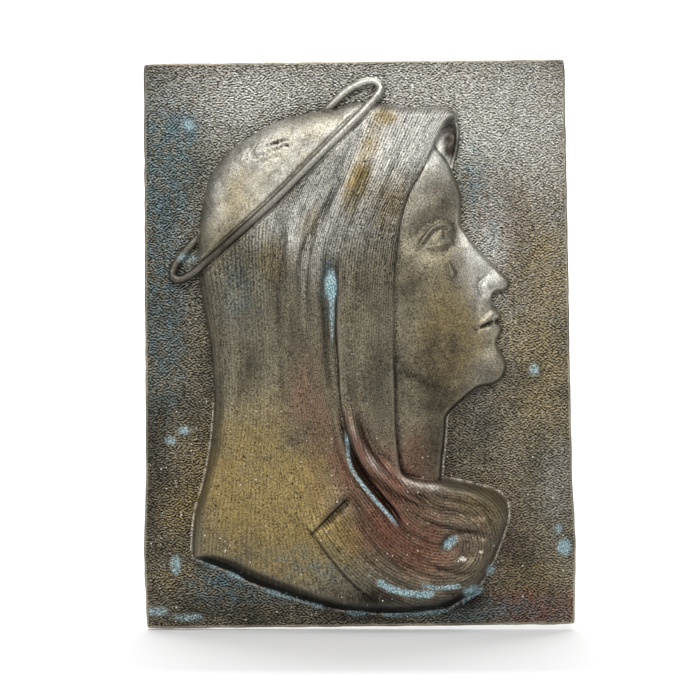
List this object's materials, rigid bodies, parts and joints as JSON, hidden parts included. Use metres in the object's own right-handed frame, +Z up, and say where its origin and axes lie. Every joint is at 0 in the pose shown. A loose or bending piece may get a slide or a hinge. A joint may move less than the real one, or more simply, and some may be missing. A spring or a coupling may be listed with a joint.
{
  "type": "relief plaque",
  "caption": "Cast bronze wall plaque in low relief: a veiled head in profile with a ring halo on a stippled ground, hollow at the back.",
  "frame": {"origin": "middle of the back plane, which lies on the wall", "axes": "+Z up, the relief faces -Y, +X to the right as the viewer sees it"},
  "size_m": [0.2159, 0.0186, 0.2842],
  "materials": {
    "cast_bronze": "cast and chased bronze with an aged brown patina and verdigris in the hollows"
  },
  "bodies": {
    "root": {"plaque": "cast_bronze"}
  },
  "joints": []
}
